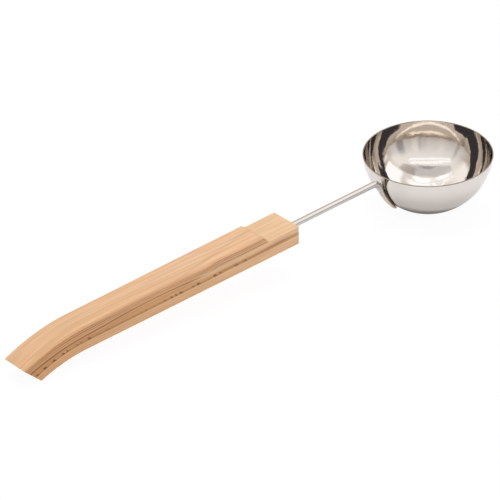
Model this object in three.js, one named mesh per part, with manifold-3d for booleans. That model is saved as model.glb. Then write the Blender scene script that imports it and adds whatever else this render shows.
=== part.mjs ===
// A sauna ladle: a pressed steel bowl, a bent steel rod welded to its side and a wooden handle.
// Millimetres, +Z up. The ladle lies on a table as it is put down: the bowl and the tip of the
// handle's tail touch z = 0, and the origin is under the middle of its bounding box.
import * as THREE from 'three';
import { mergeVertices } from 'three/addons/utils/BufferGeometryUtils.js';
import Module from 'manifold-3d';

// Driving dimensions of the bowl, a ball cut off a little below its middle
const BOWL_RADIUS = 52.3;
const BOWL_WALL = 1;
const RIM_DROP = 4;

// Driving dimensions of the rod: the straight run, the crook and the foot that hugs the bowl
const ROD_DIAMETER = 5;
const ROD_BELOW_RIM = 4.4;
const CROOK_RADIUS = 8.5;
const FOOT_TIP_THICKNESS = 2.4;
const FOOT_TIP_WIDTH = 5.6;
const FOOT_END_DEGREES = 44.5;
const TANG_LENGTH = 70;

// Driving dimensions of the wooden handle, lengths taken back from its front face
const HANDLE_GAP = 100.7;
const HANDLE_LENGTH = 266.1;
const FRONT_WIDTH = 28.4;
const REAR_WIDTH = 24.1;
const HANDLE_HEIGHT = 18.8;
const LEDGE_LENGTH = 31;
const LEDGE_DEPTH = 2.5;
const LEDGE_SLOPE_LENGTH = 3.4;
const BORE_HEIGHT = 7.9;
const EDGE_RADIUS = 1.4;
const TAIL_LENGTH = 58;
const TAIL_TOP_RADIUS = 147;
const TAIL_BOTTOM_RADIUS = 126;
const TAIL_UNDERCUT = 14.5;

// Joints: the two weld runs beside the foot and the glue around the tang
const WELD_RADIUS = 0.5;
const WELD_START_MARGIN_DEGREES = 3;
const WELD_END_MARGIN_DEGREES = 4;
const GLUE_THICKNESS = 0.6;
const GLUE_END_THICKNESS = 1;
const CLEARANCE = 0.3;

// How finely the round forms are divided
const BOWL_SIDES = 56;
const BOWL_RINGS = 16;
const ROD_SIDES = 14;
const WELD_SIDES = 8;
const BORE_SIDES = 20;
const CROOK_STEPS = 7;
const FOOT_STEPS = 12;
const TIP_STEPS = 4;
const TAIL_STEPS = 6;
const EDGE_STEPS = 3;

// Places worked out from the dimensions, in the ladle's own frame: the ball's centre is the
// origin, the handle points along -X and the rim is level
const rodRadius = ROD_DIAMETER / 2;
const rimRadius = Math.sqrt(BOWL_RADIUS ** 2 - RIM_DROP ** 2);
const rodHeight = -RIM_DROP - ROD_BELOW_RIM;
const frontX = -BOWL_RADIUS - HANDLE_GAP;
const bottomZ = rodHeight - BORE_HEIGHT;
const topZ = bottomZ + HANDLE_HEIGHT;
const ledgeZ = topZ - LEDGE_DEPTH;
const tailX = frontX - HANDLE_LENGTH + TAIL_LENGTH;
const footStart = BOWL_RADIUS + CLEARANCE + rodRadius;
const crookCentre = new THREE.Vector2(0, rodHeight - CROOK_RADIUS);
crookCentre.x = -Math.sqrt((footStart + CROOK_RADIUS) ** 2 - crookCentre.y ** 2);
const footStartAngle = Math.asin(-crookCentre.y / (footStart + CROOK_RADIUS));
const footEndAngle = THREE.MathUtils.degToRad(FOOT_END_DEGREES);
const glueInner = rodRadius + CLEARANCE;
const glueOuter = glueInner + GLUE_THICKNESS;
const boreRadius = glueOuter + CLEARANCE;

const wasm = await Module();
wasm.setup();

function toSolid(geometry) {
  const bare = geometry.clone();
  bare.deleteAttribute('normal');
  bare.deleteAttribute('uv');
  const merged = mergeVertices(bare);
  const vertProperties = new Float32Array(merged.attributes.position.array);
  const triVerts = new Uint32Array(merged.index.array);
  return new wasm.Manifold(new wasm.Mesh({ numProp: 3, vertProperties, triVerts }));
}

function toGeometry(solid) {
  const mesh = solid.getMesh();
  const geometry = new THREE.BufferGeometry();
  geometry.setAttribute('position', new THREE.BufferAttribute(mesh.vertProperties, 3));
  geometry.setIndex(new THREE.BufferAttribute(mesh.triVerts, 1));
  geometry.computeVertexNormals();
  return geometry;
}

// A closed body through a row of rings with equal point counts, capped at both ends
function loft(rings) {
  const sides = rings[0].length;
  const points = rings.flat();
  const index = [];
  for (let ring = 0; ring < rings.length - 1; ring++) {
    for (let side = 0; side < sides; side++) {
      const a = ring * sides + side;
      const b = ring * sides + (side + 1) % sides;
      index.push(a, b, a + sides, b, b + sides, a + sides);
    }
  }
  const last = (rings.length - 1) * sides;
  for (let side = 1; side < sides - 1; side++) {
    index.push(0, side + 1, side);
    index.push(last, last + side, last + side + 1);
  }
  const geometry = new THREE.BufferGeometry().setFromPoints(points);
  geometry.setIndex(index);
  geometry.computeVertexNormals();
  return geometry;
}

// An oval ring square to a path in the XZ plane, which runs the way `heading` points
function ovalRing(centre, heading, halfThickness, halfWidth, sides) {
  const ring = [];
  for (let side = 0; side < sides; side++) {
    const turn = side / sides * 2 * Math.PI;
    const out = halfThickness * Math.sin(turn);
    ring.push(new THREE.Vector3(
      centre.x - heading.y * out,
      halfWidth * Math.cos(turn),
      centre.y + heading.x * out,
    ));
  }
  return ring;
}

// A point of the bowl's side, `angle` below level on the handle's side, `lift` off its surface
function onBowl(angle, lift) {
  const radius = BOWL_RADIUS + lift;
  return new THREE.Vector2(-radius * Math.cos(angle), -radius * Math.sin(angle));
}

function downBowl(angle) {
  return new THREE.Vector2(Math.sin(angle), -Math.cos(angle));
}

function bowlGeometry() {
  const profile = [];
  const rimAngle = Math.asin(RIM_DROP / BOWL_RADIUS);
  const innerRadius = BOWL_RADIUS - BOWL_WALL;
  const innerRimAngle = Math.asin(RIM_DROP / innerRadius);
  for (let ring = 0; ring <= BOWL_RINGS; ring++) {
    const angle = THREE.MathUtils.lerp(Math.PI / 2, rimAngle, ring / BOWL_RINGS);
    const across = ring === 0 ? 0 : BOWL_RADIUS * Math.cos(angle);
    profile.push(new THREE.Vector2(across, -BOWL_RADIUS * Math.sin(angle)));
  }
  for (let ring = BOWL_RINGS; ring >= 0; ring--) {
    const angle = THREE.MathUtils.lerp(Math.PI / 2, innerRimAngle, ring / BOWL_RINGS);
    const across = ring === 0 ? 0 : innerRadius * Math.cos(angle);
    profile.push(new THREE.Vector2(across, -innerRadius * Math.sin(angle)));
  }
  return new THREE.LatheGeometry(profile, BOWL_SIDES).rotateX(Math.PI / 2);
}

// Half the foot's thickness and width at an angle below level: the blows fall mostly near the crook
function footHalves(angle) {
  const along = (angle - footStartAngle) / (footEndAngle - footStartAngle);
  const beaten = along * (2 - along);
  return [
    THREE.MathUtils.lerp(rodRadius, FOOT_TIP_THICKNESS / 2, beaten),
    THREE.MathUtils.lerp(rodRadius, FOOT_TIP_WIDTH / 2, beaten),
  ];
}

// The rod is round up to the crook, and its foot is beaten thinner and wider towards the tip
function rodGeometry() {
  const rings = [];
  const ahead = new THREE.Vector2(1, 0);
  const addRing = (centre, heading, halfThickness, halfWidth) => {
    rings.push(ovalRing(centre, heading, halfThickness, halfWidth, ROD_SIDES));
  };
  addRing(new THREE.Vector2(frontX - TANG_LENGTH, rodHeight), ahead, rodRadius, rodRadius);
  addRing(new THREE.Vector2(frontX, rodHeight), ahead, rodRadius, rodRadius);
  const crookTurn = Math.PI / 2 - footStartAngle;
  for (let step = 0; step <= CROOK_STEPS; step++) {
    const turn = crookTurn * step / CROOK_STEPS;
    const heading = new THREE.Vector2(Math.cos(turn), -Math.sin(turn));
    const side = new THREE.Vector2(Math.sin(turn), Math.cos(turn));
    addRing(side.multiplyScalar(CROOK_RADIUS).add(crookCentre), heading, rodRadius, rodRadius);
  }
  for (let step = 1; step <= FOOT_STEPS; step++) {
    const angle = THREE.MathUtils.lerp(footStartAngle, footEndAngle, step / FOOT_STEPS);
    const [halfThickness, halfWidth] = footHalves(angle);
    addRing(onBowl(angle, CLEARANCE + halfThickness), downBowl(angle), halfThickness, halfWidth);
  }
  const tipReach = FOOT_TIP_WIDTH / 2 / footStart;
  for (let step = 1; step < TIP_STEPS; step++) {
    const turn = step / TIP_STEPS * Math.PI / 2;
    const angle = footEndAngle + tipReach * Math.sin(turn);
    const halfThickness = FOOT_TIP_THICKNESS / 2 * Math.cos(turn);
    const halfWidth = FOOT_TIP_WIDTH / 2 * Math.cos(turn);
    addRing(onBowl(angle, CLEARANCE + halfThickness), downBowl(angle), halfThickness, halfWidth);
  }
  return loft(rings);
}

// One weld run in the groove between the foot and the bowl, on the +Y or the -Y side
function weldGeometry(side) {
  const start = footStartAngle + THREE.MathUtils.degToRad(WELD_START_MARGIN_DEGREES);
  const end = footEndAngle - THREE.MathUtils.degToRad(WELD_END_MARGIN_DEGREES);
  const lift = WELD_RADIUS + CLEARANCE;
  const rings = [];
  for (let step = 0; step <= FOOT_STEPS; step++) {
    const angle = THREE.MathUtils.lerp(start, end, step / FOOT_STEPS);
    const [halfThickness, halfWidth] = footHalves(angle);
    const reach = WELD_RADIUS + CLEARANCE;
    const rise = (CLEARANCE + halfThickness - lift) / (halfThickness + reach);
    const offset = (halfWidth + reach) * Math.sqrt(1 - rise * rise);
    const ring = ovalRing(onBowl(angle, lift), downBowl(angle), WELD_RADIUS, WELD_RADIUS, WELD_SIDES);
    rings.push(ring.map((point) => point.setY(point.y + side * offset)));
  }
  return loft(rings);
}

// The handle's side view: the lowered ledge in front, the straight grip and the tail that drops
function handleOutline() {
  const topDrop = Math.asin(TAIL_LENGTH / TAIL_TOP_RADIUS);
  const bottomDrop = Math.asin((TAIL_LENGTH - TAIL_UNDERCUT) / TAIL_BOTTOM_RADIUS);
  const up = Math.PI / 2;
  const outline = new THREE.Shape();
  outline.moveTo(frontX, bottomZ);
  outline.lineTo(frontX, ledgeZ);
  outline.lineTo(frontX - LEDGE_LENGTH, ledgeZ);
  outline.lineTo(frontX - LEDGE_LENGTH - LEDGE_SLOPE_LENGTH, topZ);
  outline.absarc(tailX, topZ - TAIL_TOP_RADIUS, TAIL_TOP_RADIUS, up, up + topDrop, false);
  outline.absarc(tailX, bottomZ - TAIL_BOTTOM_RADIUS, TAIL_BOTTOM_RADIUS, up + bottomDrop, up, true);
  return outline;
}

function handleGeometry() {
  const body = new THREE.ExtrudeGeometry(handleOutline(), {
    depth: FRONT_WIDTH - 2 * EDGE_RADIUS,
    curveSegments: TAIL_STEPS,
    bevelThickness: EDGE_RADIUS,
    bevelSize: EDGE_RADIUS,
    bevelOffset: -EDGE_RADIUS,
    bevelSegments: EDGE_STEPS,
  });
  body.translate(0, 0, EDGE_RADIUS - FRONT_WIDTH / 2).rotateX(Math.PI / 2);
  const position = body.attributes.position;
  for (let vertex = 0; vertex < position.count; vertex++) {
    const back = (frontX - position.getX(vertex)) / HANDLE_LENGTH;
    const narrow = THREE.MathUtils.lerp(1, REAR_WIDTH / FRONT_WIDTH, back);
    position.setY(vertex, position.getY(vertex) * narrow);
  }
  const depth = TANG_LENGTH + GLUE_END_THICKNESS + 2 * CLEARANCE;
  const bore = new THREE.CylinderGeometry(boreRadius, boreRadius, 2 * depth, BORE_SIDES);
  bore.rotateZ(Math.PI / 2).translate(frontX, 0, rodHeight);
  return toGeometry(toSolid(body).subtract(toSolid(bore)));
}

// A cup of set glue round the tang, open towards the bowl
function glueGeometry() {
  const profile = [
    new THREE.Vector2(0, -GLUE_END_THICKNESS),
    new THREE.Vector2(glueOuter, -GLUE_END_THICKNESS),
    new THREE.Vector2(glueOuter, TANG_LENGTH),
    new THREE.Vector2(glueInner, TANG_LENGTH),
    new THREE.Vector2(glueInner, 0),
    new THREE.Vector2(0, 0),
  ];
  const cup = new THREE.LatheGeometry(profile, BORE_SIDES);
  return cup.rotateZ(-Math.PI / 2).translate(frontX - TANG_LENGTH - CLEARANCE, 0, rodHeight);
}

function material(color, roughness, metalness) {
  return new THREE.MeshStandardMaterial({ color, roughness, metalness });
}

const polishedSteel = material('#d5d0cd', 0.12, 1);
const brushedSteel = material('#c9c4c0', 0.25, 1);
const weldSteel = material('#8a837d', 0.5, 1);
const alder = material('#dcae84', 0.55, 0);
const setGlue = material('#cdbb8a', 0.4, 0);

const ladle = new THREE.Group();
function addPiece(name, geometry, look) {
  const piece = new THREE.Mesh(geometry, look);
  piece.name = name;
  ladle.add(piece);
}
addPiece('bowl', bowlGeometry(), polishedSteel);
addPiece('stem_rod', rodGeometry(), brushedSteel);
addPiece('weld_bead_left', weldGeometry(1), weldSteel);
addPiece('weld_bead_right', weldGeometry(-1), weldSteel.clone());
addPiece('handle', handleGeometry(), alder);
addPiece('tang_glue', glueGeometry(), setGlue);

// Put down on the table: turned about Y until the ball and the tail's lower tip both touch it
const tip = new THREE.Vector2(tailX - TAIL_LENGTH + TAIL_UNDERCUT, bottomZ);
tip.y -= TAIL_BOTTOM_RADIUS - Math.sqrt(TAIL_BOTTOM_RADIUS ** 2 - (TAIL_LENGTH - TAIL_UNDERCUT) ** 2);
const restPitch = Math.asin(BOWL_RADIUS / tip.length()) - Math.atan2(-tip.y, -tip.x);
ladle.rotation.y = -restPitch;
ladle.position.z = BOWL_RADIUS;

const scene = new THREE.Group();
scene.add(ladle);
const box = new THREE.Box3().setFromObject(scene, true);
ladle.position.x = -(box.min.x + box.max.x) / 2;

console.log('rest pitch in degrees', THREE.MathUtils.radToDeg(restPitch).toFixed(3));
console.log('box in millimetres', box.getSize(new THREE.Vector3()).toArray().map((size) => size.toFixed(2)));
console.log('rim diameter', (2 * rimRadius).toFixed(1), 'bowl depth', (BOWL_RADIUS - RIM_DROP).toFixed(1));

export default scene;
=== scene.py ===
# %% [markdown]
# # A sauna ladle
# A pressed steel bowl, a bent steel rod that is welded to its side, and a wooden handle that is
# glued over the rod's other end. The CAD model gives the frame: every piece made here lies where
# its CAD node lies, in metres, with +Z up. Each cell makes one piece or one finish, and the
# shapes are worked out as whole numpy arrays.

import math

import bpy
import numpy as np
from mathutils import Matrix, Vector


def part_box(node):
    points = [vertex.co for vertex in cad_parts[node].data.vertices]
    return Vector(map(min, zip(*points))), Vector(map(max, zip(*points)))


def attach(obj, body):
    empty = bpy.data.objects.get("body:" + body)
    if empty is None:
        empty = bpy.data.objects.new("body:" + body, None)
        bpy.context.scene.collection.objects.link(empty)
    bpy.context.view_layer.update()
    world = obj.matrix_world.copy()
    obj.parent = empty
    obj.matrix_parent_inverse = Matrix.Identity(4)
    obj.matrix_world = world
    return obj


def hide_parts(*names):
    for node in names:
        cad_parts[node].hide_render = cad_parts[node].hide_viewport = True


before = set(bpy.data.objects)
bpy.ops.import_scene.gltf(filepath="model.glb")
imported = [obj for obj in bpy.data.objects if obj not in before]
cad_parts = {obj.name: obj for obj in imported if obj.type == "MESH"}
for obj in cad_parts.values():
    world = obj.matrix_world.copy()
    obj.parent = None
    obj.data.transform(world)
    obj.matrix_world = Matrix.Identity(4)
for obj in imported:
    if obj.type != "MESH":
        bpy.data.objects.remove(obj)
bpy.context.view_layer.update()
scene = bpy.context.scene
scene.view_settings.view_transform = "Standard"
print("CAD nodes:", sorted(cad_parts))

# %% [markdown]
# ## The ladle's own frame
# The ladle is easiest to describe on its own axes: the middle of the bowl's ball is the origin,
# the handle points along -X and the rim is level. On the table it rests on the bowl and on the
# tip of the handle's tail, which tilts it by a few degrees. The lengths below are the driving
# dimensions of the CAD source, in millimetres, so one function can carry any array of points
# from the ladle's axes to the CAD frame.

# %% Dimensions and the change of frame
BOWL_RADIUS = 52.3
BOWL_WALL = 1.0
RIM_DROP = 4.0
ROD_RADIUS = 2.5
ROD_HEIGHT = -8.4
HANDLE_FRONT = -153.0
HANDLE_LENGTH = 266.1
HANDLE_BOTTOM = -16.3
HANDLE_TOP = 2.5
TAIL_LENGTH = 58.0
TAIL_UNDERCUT = 14.5
TAIL_TOP_RADIUS = 147.0
TAIL_BOTTOM_RADIUS = 126.0

tail_start = HANDLE_LENGTH - TAIL_LENGTH
tip_turn = math.asin((TAIL_LENGTH - TAIL_UNDERCUT) / TAIL_BOTTOM_RADIUS)
tip_x = HANDLE_FRONT - HANDLE_LENGTH + TAIL_UNDERCUT
tip_z = HANDLE_BOTTOM - TAIL_BOTTOM_RADIUS * (1 - math.cos(tip_turn))
rest_pitch = math.asin(BOWL_RADIUS / math.hypot(tip_x, tip_z)) - math.atan2(-tip_z, -tip_x)
rim_radius = math.sqrt(BOWL_RADIUS**2 - RIM_DROP**2)
rim_reach = rim_radius * math.cos(rest_pitch) + RIM_DROP * math.sin(rest_pitch)
ball_centre = Vector((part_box("bowl")[1].x - rim_reach / 1000, 0, BOWL_RADIUS / 1000))


def to_frame(points):
    """Points on the ladle's axes in mm, turned about Y by the rest pitch and moved, in metres."""
    cos, sin = math.cos(rest_pitch), math.sin(rest_pitch)
    turn = np.array([[cos, 0, -sin], [0, 1, 0], [sin, 0, cos]])
    return points @ turn.T / 1000 + np.array(ball_centre)


def turn_to_frame(directions):
    """Directions on the ladle's axes, turned like the points but not moved or scaled."""
    return (to_frame(directions) - to_frame(np.zeros(3))) * 1000


print("rest pitch in degrees:", round(math.degrees(rest_pitch), 3))
print("middle of the ball in mm:", [round(1000 * c, 2) for c in ball_centre])

# %% [markdown]
# ## The camera
# The photograph was taken from far away with a long lens, so the perspective is weak. The camera
# is given by the angle it looks from, its roll, its distance and the pixel where it sees the
# middle of the bowl's ball. Its axes are written straight into its matrix.

# %% Camera
PICTURE = 500
SENSOR = 36.0
FOCAL_PIXELS = 3000.0
VIEW_AZIMUTH = math.radians(-43.0)
VIEW_ELEVATION = math.radians(29.54)
VIEW_ROLL = math.radians(1.89)
VIEW_DISTANCE = 2.38614
BALL_PIXEL = (427.99, 148.44)

level_right = Vector((math.cos(VIEW_AZIMUTH), math.sin(VIEW_AZIMUTH), 0))
level_back = Vector((math.sin(VIEW_AZIMUTH), -math.cos(VIEW_AZIMUTH), 0))
view_back = level_back * math.cos(VIEW_ELEVATION) + Vector((0, 0, math.sin(VIEW_ELEVATION)))
level_up = view_back.cross(level_right)
view_right = level_right * math.cos(VIEW_ROLL) + level_up * math.sin(VIEW_ROLL)
view_up = level_up * math.cos(VIEW_ROLL) - level_right * math.sin(VIEW_ROLL)
ball_across = (BALL_PIXEL[0] - PICTURE / 2) / FOCAL_PIXELS * VIEW_DISTANCE
ball_down = (BALL_PIXEL[1] - PICTURE / 2) / FOCAL_PIXELS * VIEW_DISTANCE
camera_place = ball_centre - view_right * ball_across + view_up * ball_down + view_back * VIEW_DISTANCE

camera = bpy.data.objects.new("camera", bpy.data.cameras.new("camera"))
scene.collection.objects.link(camera)
camera.data.sensor_width = SENSOR
camera.data.lens = FOCAL_PIXELS * SENSOR / PICTURE
camera.data.clip_start = 0.1
camera.data.clip_end = 20
camera.matrix_world = Matrix((view_right, view_up, view_back)).transposed().to_4x4()
camera.location = camera_place
scene.camera = camera
print("camera at", [round(c, 3) for c in camera_place], "lens", camera.data.lens)

# %% [markdown]
# ## From arrays to a mesh
# Every piece is a grid of points: rows along it, and columns round it. Neighbouring points make
# quads, the last column joins the first, and an end is closed by a fan of triangles to one point.
# The helper also smooths the faces and can hand each point a vector, which a material reads.


# %% Mesh helper
def grid_faces(rows, columns):
    """Quads between neighbouring rows and columns, with the last column joined to the first."""
    row, column = np.meshgrid(np.arange(rows - 1), np.arange(columns), indexing="ij")
    beside = (column + 1) % columns
    quads = [row * columns + column, row * columns + beside]
    quads += [(row + 1) * columns + beside, (row + 1) * columns + column]
    return np.stack(quads, -1).reshape(-1, 4)


def make_piece(name, grid, first, last, materials, vectors=None, row_material=None, normals=None):
    """A closed piece from a (rows, columns, 3) grid with a point to close each end.

    Its signed volume, a sixth of the sum of a . (b x c) over its triangles, says whether the
    faces point outwards, and they are turned round where it is negative."""
    rows, columns = grid.shape[:2]
    points = np.vstack([grid.reshape(-1, 3), first, last])
    quads = grid_faces(rows, columns)
    side = np.arange(columns)
    beside = (side + 1) % columns
    last_row = (rows - 1) * columns
    start_fan = np.stack([beside, side, np.full(columns, rows * columns)], -1)
    end_fan = np.stack([last_row + side, last_row + beside, np.full(columns, rows * columns + 1)], -1)
    halves = np.vstack([quads[:, [0, 1, 2]], quads[:, [0, 2, 3]], start_fan, end_fan])
    corner = points[halves]
    volume = np.einsum("ij,ij->", corner[:, 0], np.cross(corner[:, 1], corner[:, 2])) / 6
    turn = 1 if volume > 0 else -1
    faces = quads[:, ::turn].tolist() + start_fan[:, ::turn].tolist() + end_fan[:, ::turn].tolist()

    mesh = bpy.data.meshes.new(name)
    mesh.from_pydata(points.tolist(), [], faces)
    mesh.polygons.foreach_set("use_smooth", np.ones(len(faces), bool))
    for material in materials:
        mesh.materials.append(material)
    if row_material is not None:
        face_material = np.concatenate([
            np.repeat(row_material, columns),
            np.full(columns, row_material[0]),
            np.full(columns, row_material[-1]),
        ])
        mesh.polygons.foreach_set("material_index", face_material.astype(np.int32))
    for key, values in (vectors or {}).items():
        attribute = mesh.attributes.new(key, "FLOAT_VECTOR", "POINT")
        attribute.data.foreach_set("vector", values.astype(np.float32).ravel())
    mesh.update()
    if normals is not None:
        mesh.normals_split_custom_set_from_vertices(normals.tolist())
    piece = bpy.data.objects.new(name, mesh)
    scene.collection.objects.link(piece)
    print(f"{name}: {len(points)} points, {len(faces)} faces, {abs(volume) * 1e6:.2f} cubic cm")
    return piece


print("quads in a tube of 3 rows and 8 columns:", len(grid_faces(3, 8)))

# %% [markdown]
# ## Colours and nodes
# Colours are written as sRGB hex values, as a colour picker shows them, and turned to the linear
# numbers that Blender's sockets take. One small function adds a node, sets it up and links it.


# %% Material helpers
def linear(hex_colour):
    """The sRGB curve undone for each channel: a straight part near black, a power above it."""
    channels = np.array([int(hex_colour[at : at + 2], 16) for at in (1, 3, 5)]) / 255
    bent = np.where(channels <= 0.04045, channels / 12.92, ((channels + 0.055) / 1.055) ** 2.4)
    return (*bent.tolist(), 1.0)


def add_node(tree, kind, inputs=None, stops=None, **settings):
    """Adds a node. Inputs name its sockets and give a value, an output or a whole node, which
    stands for its first output in use. Settings are the node's own properties, and stops are a
    colour ramp's (place, hex colour) pairs."""
    node = tree.nodes.new("ShaderNode" + kind)
    for key, value in settings.items():
        setattr(node, key, value)
    for key, value in (inputs or {}).items():
        if isinstance(value, bpy.types.Node):
            value = next(output for output in value.outputs if output.enabled)
        if isinstance(value, bpy.types.NodeSocket):
            tree.links.new(value, node.inputs[key])
        else:
            node.inputs[key].default_value = value
    for number, (place, colour) in enumerate(stops or ()):
        ramp = node.color_ramp.elements
        stop = ramp[number] if number < 2 else ramp.new(place)
        stop.position = place
        stop.color = linear(colour)
    return node


def new_material(name):
    """An empty node material and its tree."""
    material = bpy.data.materials.new(name)
    material.use_nodes = True
    material.node_tree.nodes.clear()
    return material, material.node_tree


WHITE = linear("#ffffff")
print("mid grey as a linear number:", round(linear("#808080")[0], 3))

# %% [markdown]
# ## Mirror polish
# The bowl is pressed from 18/10 stainless sheet. Inside it is buffed to a mirror, so it shows the
# room many times over, a little browner after each bounce. A flawless mirror would look like
# glass: pressed sheet is never quite true, and the buffing wheel leaves faint swirls. Two bumps
# give that, one wide and one small. They turn the reflections and leave the shape alone.

# %% Mirror polish
WAVER_SIZE = 22.0
WAVER_DEPTH = 0.2
BUFF_SIZE = 4.0
BUFF_DEPTH = 0.05

# Mirror-polished stainless steel gives the eye sharp reflections whose edges waver. Real swirls
# are far finer than BUFF_SIZE, and are drawn that coarse so that they show.
mirror_steel, tree = new_material("mirror_polished_stainless")
place = add_node(tree, "TexCoord").outputs["Object"]
waver = add_node(tree, "TexNoise", {
    "Vector": place,
    "Scale": 1000 / WAVER_SIZE,
    "Detail": 2.0,
    "Roughness": 0.6,
})
ripple = add_node(tree, "Bump", {"Height": waver, "Strength": 1.0, "Distance": WAVER_DEPTH / 1000})
buffing = add_node(tree, "TexNoise", {"Vector": place, "Scale": 1000 / BUFF_SIZE, "Detail": 3.0})
buffed = add_node(tree, "Bump", {
    "Height": buffing,
    "Strength": 1.0,
    "Distance": BUFF_DEPTH / 1000,
    "Normal": ripple,
})
steel = add_node(tree, "BsdfPrincipled", {
    "Base Color": linear("#ded8d4"),
    "Metallic": 1.0,
    "Roughness": 0.05,
    "Normal": buffed,
})
add_node(tree, "OutputMaterial", {"Surface": steel})
print("inside of the bowl:", mirror_steel.name)

# %% [markdown]
# ## Satin polish, painted shade beside the foot and the ground edge
# Outside, the bowl is polished less finely, and the reflections of the table run together into a
# soft grey. Beside the foot a ragged dark line is painted into the colour: partly heat tint from
# welding, partly painted shade in the groove and a painted reflection of the foot. A scoured patch
# round it is rougher. They could be painted by hand. Here they are worked out from each point's
# place on the ladle's own axes, which the mesh hands over in millimetres: the line leans outwards
# and spreads above the weld as a painted reflection of the rod, and draws in at the foot's tip.

# %% Satin polish
# Places and sizes in millimetres: the painted dark line along X, the seam and the scoured patch
# along Y, the seam's top and the tip along Z. RAGGED_SHARE is a share of the line's reach, SCOURED a
# roughness.
BRUSH_SIZE = 0.6
BARE_STEEL = "#e6dfda"
FOOT_ZONE_EDGE = -30.0
FOOT_ZONE_FULL = -33.0
SEAM_PLACE = 3.8
SEAM_REACH = 0.95
SEAM_TOP = -12.5
SEAM_LEAN = 2.6
SEAM_SPREAD = 1.3
TIP_START = -35.0
TIP_END = -41.0
TIP_PLACE = 1.6
RAGGED_SIZE = 1.5
RAGGED_SHARE = 0.3
SCOUR_EDGE = 9.0
SCOUR_CORE = 4.0
SCOURED = 0.4

# Satin stainless steel gives the eye soft grey reflections. Its polishing marks are finer than
# BRUSH_SIZE, and are drawn that coarse so that they show.
satin_steel, tree = new_material("satin_polished_stainless")
place = add_node(tree, "TexCoord").outputs["Object"]
brushing = add_node(tree, "TexNoise", {"Vector": place, "Scale": 1000 / BRUSH_SIZE, "Detail": 2.0})
dullness = add_node(tree, "MapRange", {"Value": brushing, "To Min": 0.05, "To Max": 0.11})
own = add_node(tree, "Attribute", attribute_name="own").outputs["Vector"]
axes = add_node(tree, "SeparateXYZ", {"Vector": own}).outputs
by_foot = add_node(tree, "MapRange", {
    "Value": axes["X"],
    "From Min": FOOT_ZONE_EDGE,
    "From Max": FOOT_ZONE_FULL,
}, interpolation_type="SMOOTHSTEP")
above = add_node(tree, "MapRange", {"Value": axes["Z"], "From Min": SEAM_TOP, "From Max": -RIM_DROP})
below = add_node(tree, "MapRange", {
    "Value": axes["Z"],
    "From Min": TIP_END,
    "From Max": TIP_START,
    "To Min": TIP_PLACE,
    "To Max": SEAM_PLACE,
})
seam = add_node(tree, "Math", {0: above, 1: SEAM_LEAN, 2: below}, operation="MULTIPLY_ADD")
reach = add_node(tree, "Math", {0: above, 1: SEAM_SPREAD, 2: SEAM_REACH}, operation="MULTIPLY_ADD")
aside = add_node(tree, "Math", {0: axes["Y"], 1: seam}, operation="ADD")
apart = add_node(tree, "Math", {0: aside}, operation="ABSOLUTE")
share = add_node(tree, "Math", {0: apart, 1: reach}, operation="DIVIDE")
ragged = add_node(tree, "TexNoise", {"Vector": own, "Scale": 1 / RAGGED_SIZE, "Detail": 2.0})
wandering = add_node(tree, "MapRange", {
    "Value": ragged,
    "To Min": -RAGGED_SHARE,
    "To Max": RAGGED_SHARE,
})
shade_and_tint_share = add_node(tree, "Math", {0: share, 1: wandering}, operation="ADD")
# Painted shade and reflection: beside the foot the colour goes brown and almost black, partly heat tint,
# partly the shade in the groove and the mirrored foot and rod; further off, bare steel.
dark_tones = add_node(tree, "ValToRGB", {"Fac": shade_and_tint_share}, [
    (0.0, "#857668"),
    (0.4, "#6e6055"),
    (0.65, "#2f2722"),
    (0.85, "#3d332c"),
    (1.0, BARE_STEEL),
])
darkened_colour = add_node(tree, "Mix", {"Factor": by_foot, "A": linear(BARE_STEEL), "B": dark_tones}, data_type="RGBA")
beside = add_node(tree, "Math", {0: axes["Y"]}, operation="ABSOLUTE")
cleaned = add_node(tree, "MapRange", {
    "Value": beside,
    "From Min": SCOUR_EDGE,
    "From Max": SCOUR_CORE,
}, interpolation_type="SMOOTHSTEP")
scoured = add_node(tree, "Math", {0: cleaned, 1: by_foot}, operation="MULTIPLY")
finish = add_node(tree, "Mix", {"Factor": scoured, "A": dullness, "B": SCOURED})
steel = add_node(tree, "BsdfPrincipled", {"Base Color": darkened_colour, "Metallic": 1.0, "Roughness": finish})
add_node(tree, "OutputMaterial", {"Surface": steel})
print("outside of the bowl:", satin_steel.name)

# %% Ground edge
# The cut edge of the sheet is ground and not polished, which gives the eye a dull brownish line.
# Its dark colour is also painted shade, for the dark room that the rounded rim mirrors.
rim_steel, tree = new_material("ground_edge_and_painted_shade")
place = add_node(tree, "TexCoord").outputs["Object"]
grit = add_node(tree, "TexNoise", {"Vector": place, "Scale": 1000 / BRUSH_SIZE, "Detail": 2.0})
tone = add_node(tree, "ValToRGB", {"Fac": grit}, [(0.3, "#978b80"), (0.7, "#aca197")])
steel = add_node(tree, "BsdfPrincipled", {"Base Color": tone, "Metallic": 1.0, "Roughness": 0.35})
add_node(tree, "OutputMaterial", {"Surface": steel})
print("edge of the bowl:", rim_steel.name)

# %% [markdown]
# ## The bowl
# The bowl is part of a ball, cut off a little below its middle. It is a surface of revolution: a
# profile runs up the outside, over the thin rounded rim and down the inside, and every point of
# it goes once round the bowl's axis. The outside rows are satin, those over the edge are ground
# and the inside rows mirror. Pressing leaves no perfect ball, and a mirror shows it: the shading
# normals of the inner wall lean by up to 3 degrees in a few broad patches, which moves the
# reflections and leaves the shape alone.

# %% Bowl
BOWL_COLUMNS = 256
OUTSIDE_ROWS = 96
RIM_ROWS = 10
INSIDE_ROWS = 120
# Side of the bowl, spread round it and most lean of each patch, all in degrees, and where the
# lean rises and falls below the rim.
WALL_LEANS = [(95, 26, -3.0), (-5, 28, -1.3), (43, 22, 1.1)]
LEAN_START, LEAN_RISE = 8, 12
LEAN_END, LEAN_FALL = 48, 25


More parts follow.
